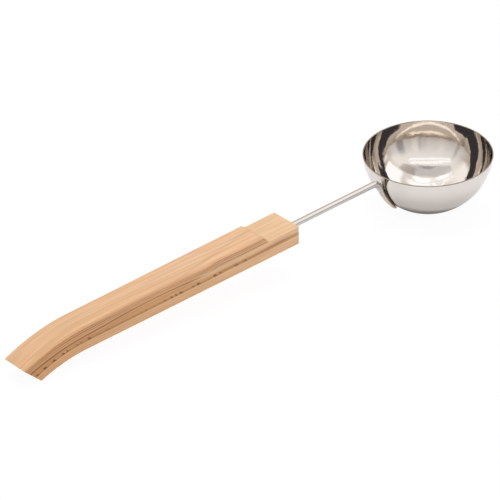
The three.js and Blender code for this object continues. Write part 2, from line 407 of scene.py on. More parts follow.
def bowl_profile():
    """Distance from the axis and height: an arc of the ball from the bottom to the rim, half a
    turn over the wall's edge, and the inner arc back to the bottom."""
    half = BOWL_WALL / 2
    middle = BOWL_RADIUS - half
    rim_angle = math.asin((RIM_DROP + half) / middle)
    outer = np.linspace(math.pi / 2, rim_angle, OUTSIDE_ROWS + 1)[1:]
    turn = np.linspace(0, math.pi, RIM_ROWS + 1)[1:-1]
    inner = np.linspace(rim_angle, math.pi / 2, INSIDE_ROWS + 1)[:-1]
    angle = np.concatenate([outer, np.full(len(turn), rim_angle), inner])
    radius = np.concatenate([
        np.full(len(outer), BOWL_RADIUS),
        middle + half * np.cos(turn),
        np.full(len(inner), BOWL_RADIUS - BOWL_WALL),
    ])
    rise = np.zeros(len(angle))
    rise[len(outer) : len(outer) + len(turn)] = half * np.sin(turn)
    return radius * np.cos(angle), rise * np.cos(angle) - radius * np.sin(angle), angle


def smooth_step(value):
    """0 below 0, 1 above 1, and 3v^2 - 2v^3 between."""
    value = np.clip(value, 0, 1)
    return value * value * (3 - 2 * value)


def leaning_normals(angle, around):
    """Inward normals of the inner wall, leaned in the plane through the axis by a sum of broad
    bell-shaped patches, each round its own side of the bowl, that fade at the rim and bottom."""
    degrees = np.degrees(around)
    lean = np.zeros(len(around))
    for side, spread, most in WALL_LEANS:
        away = (degrees - side + 180) % 360 - 180
        lean += most * np.exp(-((away / spread) ** 2))
    down = np.degrees(angle)
    risen = smooth_step((down - LEAN_START) / LEAN_RISE)
    fade = risen * (1 - smooth_step((down - LEAN_END) / LEAN_FALL))
    up = angle[:, None] - np.radians(fade[:, None] * lean)
    return np.stack([-np.cos(up) * np.cos(around), -np.cos(up) * np.sin(around), np.sin(up)], -1)


across, height, angle = bowl_profile()
around = np.linspace(0, 2 * math.pi, BOWL_COLUMNS, endpoint=False)
grid = np.stack([
    across[:, None] * np.cos(around),
    across[:, None] * np.sin(around),
    np.repeat(height[:, None], BOWL_COLUMNS, 1),
], -1)
bottom_outside = np.array([0, 0, -BOWL_RADIUS])
bottom_inside = np.array([0, 0, BOWL_WALL - BOWL_RADIUS])
row = np.arange(len(across) - 1)
row_material = (row >= OUTSIDE_ROWS - 1).astype(int) + (row >= OUTSIDE_ROWS + RIM_ROWS - 1)
normals = np.zeros_like(grid)
normals[OUTSIDE_ROWS + RIM_ROWS :] = leaning_normals(angle[OUTSIDE_ROWS + RIM_ROWS :], around)
normals = np.vstack([turn_to_frame(normals.reshape(-1, 3)), np.zeros((2, 3))])
bowl = make_piece(
    "pressed_bowl",
    to_frame(grid),
    to_frame(bottom_outside),
    to_frame(bottom_inside),
    [satin_steel, rim_steel, mirror_steel],
    vectors={"own": np.vstack([grid.reshape(-1, 3), bottom_outside, bottom_inside])},
    row_material=row_material,
    normals=normals,
)
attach(bowl, "root")
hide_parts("bowl")

# %% [markdown]
# ## The rod
# A round rod of 5 mm is bent down in a tight crook before it reaches the bowl, and its end, beaten
# a little flatter and wider, hugs the bowl's side. It is one profile, an oval, carried along a
# path in the ladle's middle plane: straight, round the crook, and along the ball.

# %% Rod
CLEARANCE = 0.3
TANG_LENGTH = 70.0
CROOK_RADIUS = 8.5
FOOT_TIP_THICKNESS = 2.4
FOOT_TIP_WIDTH = 5.6
FOOT_END = math.radians(44.5)
ROD_COLUMNS = 48
TANG_ROWS = 12
RUN_ROWS = 60
CROOK_ROWS = 33
FOOT_ROWS = 61
TIP_ROWS = 13

foot_lift = BOWL_RADIUS + CLEARANCE + ROD_RADIUS
crook_z = ROD_HEIGHT - CROOK_RADIUS
crook_x = -math.sqrt((foot_lift + CROOK_RADIUS) ** 2 - crook_z**2)
foot_start = math.asin(-crook_z / (foot_lift + CROOK_RADIUS))


def foot_halves(angle):
    """Half the foot's thickness and half its width at an angle below level: both change from the
    rod's radius along a parabola that is steep near the crook and flat at the tip."""
    along = (angle - foot_start) / (FOOT_END - foot_start)
    beaten = along * (2 - along)
    thick = ROD_RADIUS + (FOOT_TIP_THICKNESS / 2 - ROD_RADIUS) * beaten
    wide = ROD_RADIUS + (FOOT_TIP_WIDTH / 2 - ROD_RADIUS) * beaten
    return thick, wide


def rod_path():
    """Middle line (x, z), heading angle below level, half thickness and half width, row by row:
    a straight run, an arc of the crook, an arc of the ball and a rounded tip."""
    straight = np.concatenate([
        np.linspace(HANDLE_FRONT - TANG_LENGTH, HANDLE_FRONT, TANG_ROWS),
        np.linspace(HANDLE_FRONT, crook_x, RUN_ROWS)[1:],
    ])
    crook = np.linspace(0, math.pi / 2 - foot_start, CROOK_ROWS)[1:]
    foot = np.linspace(foot_start, FOOT_END, FOOT_ROWS)[1:]
    foot_thick, foot_wide = foot_halves(foot)
    round_off = np.linspace(0, math.pi / 2, TIP_ROWS)[1:-1]
    tip = FOOT_END + FOOT_TIP_WIDTH / 2 / foot_lift * np.sin(round_off)
    on_ball = np.concatenate([foot, tip])
    thick = np.concatenate([
        np.full(len(straight) + len(crook), ROD_RADIUS),
        foot_thick,
        FOOT_TIP_THICKNESS / 2 * np.cos(round_off),
    ])
    wide = np.concatenate([
        np.full(len(straight) + len(crook), ROD_RADIUS),
        foot_wide,
        FOOT_TIP_WIDTH / 2 * np.cos(round_off),
    ])
    reach = BOWL_RADIUS + CLEARANCE + thick[-len(on_ball) :]
    x = np.concatenate([straight, crook_x + CROOK_RADIUS * np.sin(crook), -reach * np.cos(on_ball)])
    z = np.concatenate([
        np.full(len(straight), ROD_HEIGHT),
        crook_z + CROOK_RADIUS * np.cos(crook),
        -reach * np.sin(on_ball),
    ])
    heading = np.concatenate([np.zeros(len(straight)), crook, math.pi / 2 - on_ball])
    return x, z, heading, thick, wide


def sweep(x, z, heading, thick, wide, columns, offset=0.0):
    """An oval square to the path at every row: its thickness lies in the middle plane, turned by
    the heading, and its width lies along Y."""
    turn = np.linspace(0, 2 * math.pi, columns, endpoint=False)
    out = thick[:, None] * np.sin(turn)
    return np.stack([
        x[:, None] + np.sin(heading)[:, None] * out,
        offset + wide[:, None] * np.cos(turn),
        z[:, None] + np.cos(heading)[:, None] * out,
    ], -1)


x, z, heading, thick, wide = rod_path()
turn = np.linspace(0, 2 * math.pi, ROD_COLUMNS, endpoint=False)
run = np.concatenate([[0], np.cumsum(np.hypot(np.diff(x), np.diff(z)))])
rod_end = run[-1]
straightened = np.stack([
    np.repeat(run[:, None], ROD_COLUMNS, 1),
    ROD_RADIUS * np.cos(turn) + 0 * run[:, None],
    ROD_RADIUS * np.sin(turn) + 0 * run[:, None],
], -1)
straightened = np.vstack([straightened.reshape(-1, 3), [[0, 0, 0]], [[rod_end, 0, 0]]])
print("rod straightened out:", round(rod_end, 1), "mm")

# %% [markdown]
# ## Steel of the rod
# The rod was drawn through a die, which leaves fine lines along it. They follow the bends, so the
# pattern reads the place on the rod as if it were straightened out. The bright stripe above its
# middle is a painted highlight in the base colour: Layer Weight gives it, on a normal that is leaned
# down a little. Near its end the rod is warm and dull from the weld, and darker at the very tip.

# %% Drawn steel
# Heat and the darker tip start and are full at these distances from the rod's end, in millimetres,
# and HEATED is a roughness.
DRAW_LENGTH = 30.0
DRAW_LINE = 0.4
DRAW_DEPTH = 0.01
HIGHLIGHT_LEAN = 0.25
HEAT_START, HEAT_FULL = 28, 16
DARK_TIP_START, DARK_TIP_FULL = 3.0, 1.6
HEATED = 0.45

# Drawn stainless steel gives the eye faint lines along it, and a painted highlight gives it a
# bright stripe. Real lines are finer than DRAW_LINE, and are drawn that wide so that they show.
rod_steel, tree = new_material("drawn_stainless_rod")
drawn = add_node(tree, "Attribute", attribute_name="straightened").outputs["Vector"]
lines = add_node(tree, "Mapping", {
    "Vector": drawn,
    "Scale": (1 / DRAW_LENGTH, 1 / DRAW_LINE, 1 / DRAW_LINE),
})
marks = add_node(tree, "TexNoise", {"Vector": lines, "Scale": 1.0, "Detail": 2.0})
dullness = add_node(tree, "MapRange", {"Value": marks, "To Min": 0.04, "To Max": 0.1})
scores = add_node(tree, "Bump", {"Height": marks, "Strength": 0.5, "Distance": DRAW_DEPTH / 1000})
# Painted highlight: white where the leaned normal faces the viewer, grey towards the rod's edges.
shape = add_node(tree, "NewGeometry").outputs["Normal"]
lean = add_node(tree, "VectorMath", {0: shape, 1: (0, 0, -HIGHLIGHT_LEAN)}, operation="ADD")
leant = add_node(tree, "VectorMath", {0: lean}, operation="NORMALIZE")
slope = add_node(tree, "LayerWeight", {"Blend": 0.5, "Normal": leant}).outputs["Facing"]
painted_highlight = add_node(tree, "ValToRGB", {"Fac": slope}, [
    (0.0, "#ffffff"),
    (0.1, "#f8f4f1"),
    (0.27, "#cfcac8"),
    (1.0, "#cfcac8"),
])
length = add_node(tree, "SeparateXYZ", {"Vector": drawn}).outputs["X"]
heated = add_node(tree, "MapRange", {
    "Value": length,
    "From Min": rod_end - HEAT_START,
    "From Max": rod_end - HEAT_FULL,
})
warmed = add_node(tree, "Mix", {"Factor": heated, "A": painted_highlight, "B": linear("#f0e2d2")}, data_type="RGBA")
# Darker over the last millimetres of the rod, at the tip that meets the bowl.
darkened_tip = add_node(tree, "MapRange", {
    "Value": length,
    "From Min": rod_end - DARK_TIP_START,
    "From Max": rod_end - DARK_TIP_FULL,
})
darkened_colour = add_node(tree, "Mix", {"Factor": darkened_tip, "A": warmed, "B": linear("#2a231d")}, data_type="RGBA")
finish = add_node(tree, "Mix", {"Factor": heated, "A": dullness, "B": HEATED})
steel = add_node(tree, "BsdfPrincipled", {
    "Base Color": darkened_colour,
    "Metallic": 1.0,
    "Roughness": finish,
    "Normal": scores,
})
add_node(tree, "OutputMaterial", {"Surface": steel})
rod = make_piece(
    "bent_rod",
    to_frame(sweep(x, z, heading, thick, wide, ROD_COLUMNS)),
    to_frame(np.array([x[0], 0, z[0]])),
    to_frame(np.array([x[-1], 0, z[-1]])),
    [rod_steel],
    vectors={"straightened": straightened},
)
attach(rod, "root")
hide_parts("stem_rod")

# %% [markdown]
# ## The welds
# Two thin weld runs fill the grooves between the foot and the bowl. A welder lays them as a row of
# small overlapping puddles, so the bead's radius swells and shrinks along its length, and the heat
# leaves the steel dull and brown.

# %% Welds
WELD_RADIUS = 0.5
WELD_STEP = 1.2
WELD_SWELL = 0.12
WELD_MARGIN = math.radians(3)
WELD_BLUNTNESS = 8
WELD_ROWS = 90
WELD_COLUMNS = 16
SCALE_SIZE = 1.5

# Steel that was left as welded gives the eye a dull brown line, mottled by its burnt scale.
weld_steel, tree = new_material("heat_tinted_weld")
place = add_node(tree, "TexCoord").outputs["Object"]
scale = add_node(tree, "TexNoise", {"Vector": place, "Scale": 1000 / SCALE_SIZE, "Detail": 3.0})
dark_tones = add_node(tree, "ValToRGB", {"Fac": scale}, [(0.35, "#4f4339"), (0.6, "#8a7a6b")])
steel = add_node(tree, "BsdfPrincipled", {"Base Color": dark_tones, "Metallic": 1.0, "Roughness": 0.45})
add_node(tree, "OutputMaterial", {"Surface": steel})


def weld_run(side):
    """A round bead on the ball, touching the foot's oval: its radius is rippled by a sine of the
    length along the ball, and falls off at both blunt ends as the root of 1 - t^8."""
    angle = np.linspace(foot_start + WELD_MARGIN, FOOT_END - WELD_MARGIN, WELD_ROWS)
    thick, wide = foot_halves(angle)
    lift = WELD_RADIUS + CLEARANCE
    rise = (CLEARANCE + thick - lift) / (thick + lift)
    offset = side * (wide + lift) * np.sqrt(1 - rise**2)
    ends = np.sqrt(np.clip(1 - np.linspace(-1, 1, WELD_ROWS) ** WELD_BLUNTNESS, 0.01, 1))
    puddles = np.sin(2 * math.pi * BOWL_RADIUS * angle / WELD_STEP)
    bead = WELD_RADIUS * ends * (1 + WELD_SWELL * puddles)
    reach = BOWL_RADIUS + lift
    x, z = -reach * np.cos(angle), -reach * np.sin(angle)
    grid = sweep(x, z, math.pi / 2 - angle, bead, bead, WELD_COLUMNS, offset[:, None])
    return grid, np.array([x[0], offset[0], z[0]]), np.array([x[-1], offset[-1], z[-1]])


for side, name, node in (
    (1, "weld_run_left", "weld_bead_left"),
    (-1, "weld_run_right", "weld_bead_right"),
):
    grid, first, last = weld_run(side)
    weld = make_piece(name, to_frame(grid), to_frame(first), to_frame(last), [weld_steel])
    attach(weld, "root")
    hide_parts(node)

# %% [markdown]
# ## Wood of the handle
# The handle is alder, sawn so that its yearly layers lie nearly flat, sanded and left bare. On the
# sides the layers show as long lines, and on the top, which they cross at a shallow angle, only as
# faint broad figures. A wave texture would give even stripes, which wood never has. So the mesh
# hands over a vector, the distance along the bent handle, across it and up from its underside in
# millimetres, and the nodes work out a layer from it: the height, less a dome across the handle,
# with a slow drop, a long wave, a step in front and a slight waver. A ramp gives each layer its tone.

# %% Alder layers
# Places and sizes in millimetres. LAYER_DROP is a drop for each millimetre along the handle, and
# WAVE_ON_TOP the share of the wave, step and waver that is left at the top.
HANDLE_HEIGHT = HANDLE_TOP - HANDLE_BOTTOM
LAYER_SPAN = 28.0
LAYER_DOME = 5.1
DOME_MIDDLE = 17.0
LAYER_DROP = 0.004
LAYER_RISE = -2.2
RISE_START = 30.0
RISE_FOOT, RISE_FULL = 9.0, 15.0
LAYER_WAVER = 0.8
WANDER_SIZES = (70, 26, 10)
WAVE_LENGTH = 148.0
WAVE_CREST = 140.0
WAVE_HEIGHT = 1.25
WAVE_FOOT, WAVE_FULL = 7.5, 15.0
WAVE_ON_TOP = 0.35
STEP_HEIGHT = 4.2
STEP_START, STEP_END = 78.0, 95.0

layer_tones = [
    (0.0, "#dca873"),
    (1.5, "#e6b47e"),
    (2.5, "#d9a470"),
    (3.3, "#e3bd9b"),
    (4.2, "#cda582"),
    (5.2, "#e3bb99"),
    (6.0, "#d0a67c"),
    (6.8, "#e2b68a"),
    (7.5, "#e8bf95"),
    (8.3, "#d0a075"),
    (9.0, "#b07a4e"),
    (9.7, "#c59568"),
    (10.6, "#d2a478"),
    (11.3, "#c99a6d"),
    (12.3, "#d3a67b"),
    (12.8, "#9a6640"),
    (13.1, "#9a6640"),
    (13.7, "#d4a77c"),
    (14.5, "#dab087"),
    (15.5, "#bf8c5f"),
    (16.3, "#e2ba8f"),
    (16.9, "#96633c"),
    (17.5, "#deb086"),
    (18.2, "#b27e54"),
    (19.0, "#dead83"),
    (19.7, "#e9b98d"),
    (20.4, "#eec197"),
    (21.2, "#f0c59f"),
    (22.0, "#ecbd92"),
    (23.0, "#f0c59f"),
    (28.0, "#efc49c"),
]

# Sanded bare alder gives the eye a warm matt surface with long lines of darker late wood.
alder, tree = new_material("sanded_alder")
grain = add_node(tree, "Attribute", attribute_name="grain").outputs["Vector"]
parts = add_node(tree, "SeparateXYZ", {"Vector": grain}).outputs
off_middle = add_node(tree, "Math", {0: parts["Y"], 1: DOME_MIDDLE}, operation="SUBTRACT")
squared = add_node(tree, "Math", {0: off_middle, 1: 2.0}, operation="POWER")
domed = add_node(tree, "Math", {
    0: squared,
    1: -LAYER_DOME / DOME_MIDDLE**2,
    2: parts["Z"],
}, operation="MULTIPLY_ADD")
shifted = add_node(tree, "Math", {0: domed, 1: LAYER_DOME}, operation="ADD")
dropping = add_node(tree, "Math", {0: parts["X"], 1: LAYER_DROP, 2: shifted}, operation="MULTIPLY_ADD")
backwards = add_node(tree, "MapRange", {
    "Value": parts["X"],
    "From Min": RISE_START,
    "From Max": HANDLE_LENGTH,
    "To Max": LAYER_RISE,
})
upwards = add_node(tree, "MapRange", {
    "Value": parts["Z"],
    "From Min": RISE_FOOT,
    "From Max": RISE_FULL,
}, interpolation_type="SMOOTHSTEP")
rising = add_node(tree, "Math", {0: backwards, 1: upwards, 2: dropping}, operation="MULTIPLY_ADD")
phase = add_node(tree, "Math", {
    0: parts["X"],
    1: 2 * math.pi / WAVE_LENGTH,
    2: -2 * math.pi * WAVE_CREST / WAVE_LENGTH,
}, operation="MULTIPLY_ADD")
wave = add_node(tree, "Math", {0: phase}, operation="COSINE")
stepped = add_node(tree, "MapRange", {
    "Value": parts["X"],
    "From Min": STEP_START,
    "From Max": STEP_END,
    "To Min": -STEP_HEIGHT,
    "To Max": 0.0,
}, interpolation_type="SMOOTHSTEP")
waving = add_node(tree, "Math", {0: wave, 1: -WAVE_HEIGHT, 2: stepped}, operation="MULTIPLY_ADD")
slow = add_node(tree, "Mapping", {"Vector": grain, "Scale": tuple(1 / size for size in WANDER_SIZES)})
wander = add_node(tree, "TexNoise", {"Vector": slow, "Scale": 1.0, "Detail": 0.0})
lift = add_node(tree, "MapRange", {
    "Value": wander,
    "From Min": 0.25,
    "From Max": 0.75,
    "To Min": -LAYER_WAVER,
    "To Max": LAYER_WAVER,
})
moved = add_node(tree, "Math", {0: waving, 1: lift}, operation="ADD")
loose = add_node(tree, "MapRange", {
    "Value": parts["Z"],
    "From Min": WAVE_FOOT,
    "From Max": WAVE_FULL,
}, interpolation_type="SMOOTHSTEP")
bound = add_node(tree, "MapRange", {
    "Value": parts["Z"],
    "From Min": WAVE_FULL,
    "From Max": HANDLE_HEIGHT,
    "To Min": 1.0,
    "To Max": WAVE_ON_TOP,
}, interpolation_type="SMOOTHSTEP")
free = add_node(tree, "Math", {0: loose, 1: bound}, operation="MULTIPLY")
layer = add_node(tree, "Math", {0: moved, 1: free, 2: rising}, operation="MULTIPLY_ADD")
level = add_node(tree, "Math", {0: layer, 1: LAYER_SPAN}, operation="DIVIDE")
layers = add_node(tree, "ValToRGB", {"Fac": level}, [(at / LAYER_SPAN, tone) for at, tone in layer_tones])
print("wood:", alder.name, "with", len(layer_tones), "tones")

# %% [markdown]
# ## Flecks and a pale tongue
# Alder has short brown flecks that follow a layer. Here they lie in one row along each side, dense
# in front and behind and sparser between. In front, a pale layer is cut so flat that it shows as a
# tongue. Both are masks: a distance from a line, turned to a share from 0 to 1, mixes in a colour.

# %% Flecks and tongue
FLECK_LAYER = 9.5
FLECK_EDGE, FLECK_CORE = 1.5, 0.6
FLECK_LENGTH = 4.2
FLECK_WIDTH = 9
FLECK_SLANT = -0.8
TONGUE_LAYER = 13.2
TONGUE_EDGE, TONGUE_CORE = 2.9, 1.2
TONGUE_TIP, TONGUE_FULL = 114.0, 90.0
TONGUE_SHARE = 0.75


def band(value, middle, edge, core, most=1.0):
    """A share of the wood that is most within a core distance of a middle value and 0 beyond an
    edge distance: the difference's absolute value, turned to a share by a smooth step."""
    off = add_node(tree, "Math", {0: value, 1: middle}, operation="SUBTRACT")
    away = add_node(tree, "Math", {0: off}, operation="ABSOLUTE")
    return add_node(tree, "MapRange", {
        "Value": away,
        "From Min": edge,
        "From Max": core,
        "To Max": most,
    }, interpolation_type="SMOOTHSTEP")


fleck_row = add_node(tree, "Math", {0: parts["X"], 1: LAYER_DROP, 2: parts["Z"]}, operation="MULTIPLY_ADD")
near = band(fleck_row, FLECK_LAYER, FLECK_EDGE, FLECK_CORE)
slanted = add_node(tree, "Math", {0: parts["Z"], 1: FLECK_SLANT, 2: parts["X"]}, operation="MULTIPLY_ADD")
row = add_node(tree, "CombineXYZ", {"X": slanted, "Y": parts["Y"]})
short = add_node(tree, "Mapping", {"Vector": row, "Scale": (1 / FLECK_LENGTH, 1 / FLECK_WIDTH, 0)})
scatter = add_node(tree, "TexNoise", {"Vector": short, "Scale": 1.0, "Detail": 2.0})
spots = add_node(tree, "MapRange", {
    "Value": scatter,
    "From Min": 0.5,
    "From Max": 0.6,
}, interpolation_type="SMOOTHSTEP")
stretch = add_node(tree, "MapRange", {"Value": parts["X"], "From Max": HANDLE_LENGTH})
crowded = add_node(tree, "ValToRGB", {"Fac": stretch}, [
    (0.17, "#000000"),
    (0.21, "#ffffff"),
    (0.49, "#ffffff"),
    (0.52, "#8c8c8c"),
    (0.75, "#8c8c8c"),
    (0.78, "#ffffff"),
])
in_row = add_node(tree, "Math", {0: near, 1: spots}, operation="MULTIPLY")
flecks = add_node(tree, "Math", {0: in_row, 1: crowded}, operation="MULTIPLY")
forwards = add_node(tree, "MapRange", {
    "Value": parts["X"],
    "From Min": TONGUE_TIP,
    "From Max": TONGUE_FULL,
}, interpolation_type="SMOOTHSTEP")
in_tongue = band(parts["Z"], TONGUE_LAYER, TONGUE_EDGE, TONGUE_CORE, TONGUE_SHARE)
tongue = add_node(tree, "Math", {0: forwards, 1: in_tongue}, operation="MULTIPLY")
paled = add_node(tree, "Mix", {"Factor": tongue, "A": layers, "B": linear("#e3bc97")}, data_type="RGBA")
flecked = add_node(tree, "Mix", {"Factor": flecks, "A": paled, "B": linear("#7d5335")}, data_type="RGBA")
print("flecks about", FLECK_LENGTH, "mm long, tongue", TONGUE_TIP, "mm long")

# %% [markdown]
# ## Top, ledge and edges
# One yearly ring crosses the top at a slant, as a faint line. The ledge is planed and paler. The
# lower edges are warmer: painted light, for the glow that the white table throws back onto them.
# The wood darkens a little towards the tail, the sides more than the top, partly in its own tone
# and partly as painted shade. Where the ledge and the edges lie is known when the mesh is made, so
# it hands that over in a second vector.

# %% Ring, ledge and edges
RING_SLANT = 0.193
RING_PLACE = 26.2
RING_EDGE, RING_CORE = 2.0, 0.2
RING_SHARE = 0.3
TOP_EDGE, TOP_CORE = 1.2, 0.2

finish = add_node(tree, "Attribute", attribute_name="finish").outputs["Vector"]
ledge_and_glow = add_node(tree, "SeparateXYZ", {"Vector": finish}).outputs
crossing = add_node(tree, "Math", {0: parts["X"], 1: RING_SLANT, 2: parts["Y"]}, operation="MULTIPLY_ADD")
on_ring = band(crossing, RING_PLACE, RING_EDGE, RING_CORE, RING_SHARE)
on_top = add_node(tree, "MapRange", {
    "Value": parts["Z"],
    "From Min": HANDLE_HEIGHT - TOP_EDGE,
    "From Max": HANDLE_HEIGHT - TOP_CORE,
})
ring = add_node(tree, "Math", {0: on_ring, 1: on_top}, operation="MULTIPLY")
ringed = add_node(tree, "Mix", {"Factor": ring, "A": flecked, "B": linear("#d7a577")}, data_type="RGBA")
planed = add_node(tree, "Mix", {
    "Factor": ledge_and_glow["X"],
    "A": ringed,
    "B": linear("#f0c79d"),
}, data_type="RGBA")
# Darker towards the tail, the sides more than the top: partly the wood's own tone, partly painted shade.
darker = add_node(tree, "Mix", {
    "Factor": on_top,
    "A": linear("#ede1cd"),
    "B": linear("#f7f0e3"),
}, data_type="RGBA")
tail_darkening = add_node(tree, "Mix", {"Factor": stretch, "A": WHITE, "B": darker}, data_type="RGBA")
darkened_to_tail = add_node(tree, "Mix", {
    "Factor": 1.0,
    "A": planed,
    "B": tail_darkening,
}, data_type="RGBA", blend_type="MULTIPLY")
# Painted light: the lower edges turn a warmer orange, for the glow of the white table on them.
with_bounce_glow = add_node(tree, "Mix", {
    "Factor": ledge_and_glow["Y"],
    "A": darkened_to_tail,
    "B": linear("#dda066"),
}, data_type="RGBA")
print("ring slants by", round(math.degrees(math.atan(RING_SLANT)), 1), "degrees")

# %% [markdown]
# ## Fibres
# Seen closely, wood is bundles of fibres. A noise that is stretched along the grain gives them: it
# makes each layer a little lighter and darker and raises a slight relief, which breaks the gloss.

# %% Fibres
FIBRE = 1.6
FIBRE_LENGTH = 55
FIBRE_DEPTH = 0.05

# Real fibres are hundredths of a millimetre wide. They are drawn as wide as FIBRE so that they show.
stretched = add_node(tree, "Mapping", {
    "Vector": grain,
    "Scale": (1 / FIBRE_LENGTH, 1 / FIBRE, 1 / FIBRE),
})
fibres = add_node(tree, "TexNoise", {"Vector": stretched, "Scale": 1.0, "Detail": 3.0})
streak = add_node(tree, "MapRange", {
    "Value": fibres,
    "From Min": 0.3,
    "From Max": 0.7,
    "To Min": 0.87,
    "To Max": 1.09,
})
wood = add_node(tree, "Mix", {
    "Factor": 1.0,
    "A": with_bounce_glow,
    "B": streak,
}, data_type="RGBA", blend_type="MULTIPLY")
relief = add_node(tree, "Bump", {"Height": fibres, "Strength": 0.4, "Distance": FIBRE_DEPTH / 1000})
surface = add_node(tree, "BsdfPrincipled", {
    "Base Color": wood,
    "Roughness": 0.55,
    "IOR": 1.45,
    "Normal": relief,
})
add_node(tree, "OutputMaterial", {"Surface": surface})
print("nodes in the wood:", len(tree.nodes))

# %% [markdown]
# ## The handle
# The handle is a row of rounded rectangles. Each has a point on the top line and one on the bottom
# line of the side view, a width that tapers towards the rear, and its own corner radii. In front
# the top drops to a flat ledge. At the tail both lines become arcs, and the rows fan out until the
# last one is the slanting end cut. The front face runs into the bore that holds the rod.

# %% Handle
FRONT_WIDTH = 28.4
REAR_WIDTH = 24.1
LEDGE_LENGTH = 31.0
LEDGE_DEPTH = 2.5
LEDGE_SLOPE = 3.4
FRONT_ROUNDING = 0.9
END_ROUNDING = 0.5
GRIP_EDGE = 0.9
LEDGE_EDGE = 0.8
BOTTOM_EDGE = 1.2
BORE_RADIUS = 3.7
BORE_DEPTH = 71.6
STEP_EASE = 0.6
STEP_MARGIN = 2
LEDGE_FADE_START, LEDGE_FADE = 1.3, 0.6
GLOW_REACH = 2.2
GLOW_SHARE = 0.6
ARC_COLUMNS = 9
TOP_COLUMNS = 30
SIDE_COLUMNS = 22
ROUND_ROWS = 9
LEDGE_ROWS = 24
STEP_ROWS = 41
GRIP_ROWS = 90
TAIL_ROWS = 61
FACE_ROWS = 8
BORE_ROWS = 10


def rounded_rectangle(width, height, top_radius, bottom_radius):
    """Across and up for every row: four quarter circles, each on its own corner, and straight
    lines between the end of one and the start of the next."""
    quarter = np.linspace(0, math.pi / 2, ARC_COLUMNS)
    across, up = [], []
    for corner, (side, top) in enumerate(((1, 1), (-1, 1), (-1, 0), (1, 0))):
        radius = (top_radius if top else bottom_radius)[:, None]
        angle = quarter + corner * math.pi / 2
        middle = height[:, None] - radius if top else radius
        across.append(side * (width[:, None] / 2 - radius) + radius * np.cos(angle))
        up.append(middle + radius * np.sin(angle))
    all_across, all_up = [], []
    for corner in range(4):
        after = (corner + 1) % 4
        share = np.linspace(0, 1, (TOP_COLUMNS if corner % 2 == 0 else SIDE_COLUMNS) + 1)[1:-1]
        for whole, part in ((all_across, across), (all_up, up)):
            start, end = part[corner][:, -1:], part[after][:, :1]
            whole += [part[corner], start + (end - start) * share]
    return np.concatenate(all_across, 1), np.concatenate(all_up, 1)


def handle_rows():
    """For every row: its place along the handle, how far it shrinks at a rounded end, and how far
    into the tail it lies, from 0 to 1."""
    bend = np.linspace(0, math.pi / 2, ROUND_ROWS)
    front = FRONT_ROUNDING * (1 - np.cos(bend))
    front_inset = FRONT_ROUNDING * (1 - np.sin(bend))
    step_start = LEDGE_LENGTH - STEP_MARGIN
    step_end = LEDGE_LENGTH + LEDGE_SLOPE + STEP_MARGIN
    ledge = np.linspace(FRONT_ROUNDING, step_start, LEDGE_ROWS)[1:]
    step = np.linspace(step_start, step_end, STEP_ROWS)[1:]
    grip = np.linspace(step_end, tail_start, GRIP_ROWS)[1:]
    tail = np.linspace(0, 1, TAIL_ROWS)[1:-1]
    end_share = 1 - END_ROUNDING / TAIL_LENGTH * (1 - np.sin(bend))
    end_inset = END_ROUNDING * (1 - np.cos(bend))
    tail = np.concatenate([tail[tail < end_share[0]], end_share])
    straight = np.concatenate([front, ledge, step, grip])
    along = np.concatenate([straight, np.full(len(tail), tail_start)])
    between = np.zeros(len(along) - 2 * ROUND_ROWS)
    inset = np.concatenate([front_inset, between, end_inset])
    into_tail = np.concatenate([np.zeros(len(straight)), tail])
    return along, inset, into_tail


def handle_grid():
    """Points, grain and finish vectors of the handle's skin. Each row's top and bottom points lie
    on the side view's lines, at the tail on arcs, and the rounded rectangle is laid between them."""
    along, inset, into_tail = handle_rows()
    raised = smooth_step((along - LEDGE_LENGTH + STEP_EASE) / (LEDGE_SLOPE + 2 * STEP_EASE))
    top_turn = into_tail * math.asin(TAIL_LENGTH / TAIL_TOP_RADIUS)
    bottom_turn = into_tail * tip_turn
    top_x = HANDLE_FRONT - along - TAIL_TOP_RADIUS * np.sin(top_turn)
    top_z = HANDLE_TOP - LEDGE_DEPTH * (1 - raised) - TAIL_TOP_RADIUS * (1 - np.cos(top_turn))
    bottom_x = HANDLE_FRONT - along - TAIL_BOTTOM_RADIUS * np.sin(bottom_turn)
    bottom_z = HANDLE_BOTTOM - TAIL_BOTTOM_RADIUS * (1 - np.cos(bottom_turn))
    height = np.hypot(top_x - bottom_x, top_z - bottom_z)
    length = along + into_tail * TAIL_LENGTH
    width = FRONT_WIDTH + (REAR_WIDTH - FRONT_WIDTH) * length / HANDLE_LENGTH
    top_edge = LEDGE_EDGE + (GRIP_EDGE - LEDGE_EDGE) * raised
    bottom_edge = np.full(len(along), BOTTOM_EDGE)
    across, up = rounded_rectangle(width - 2 * inset, height - 2 * inset, top_edge, bottom_edge)
    share = (up + inset[:, None]) / height[:, None]
    points = np.stack([
        bottom_x[:, None] + (top_x - bottom_x)[:, None] * share,
        across,
        bottom_z[:, None] + (top_z - bottom_z)[:, None] * share,
    ], -1)
    top_run, bottom_run = TAIL_TOP_RADIUS * top_turn, TAIL_BOTTOM_RADIUS * bottom_turn
    run = along[:, None] + bottom_run[:, None] + (top_run - bottom_run)[:, None] * share
    grain = np.stack([run, across + width[:, None] / 2, share * height[:, None]], -1)
    up_share = smooth_step((up - height[:, None] + LEDGE_FADE_START) / LEDGE_FADE)
    on_ledge = (1 - raised)[:, None] * up_share * np.ones_like(run)
    # Painted bounce light: a share that is most along the lower long edges.
    to_corner = np.hypot(
        np.clip(width[:, None] / 2 - np.abs(across), 0, None),
        np.clip(up, 0, None),
    )
    edge = smooth_step(1 - to_corner / GLOW_REACH) * GLOW_SHARE
    finish = np.stack([on_ledge, edge, edge * 0], -1)
    return points, grain, finish


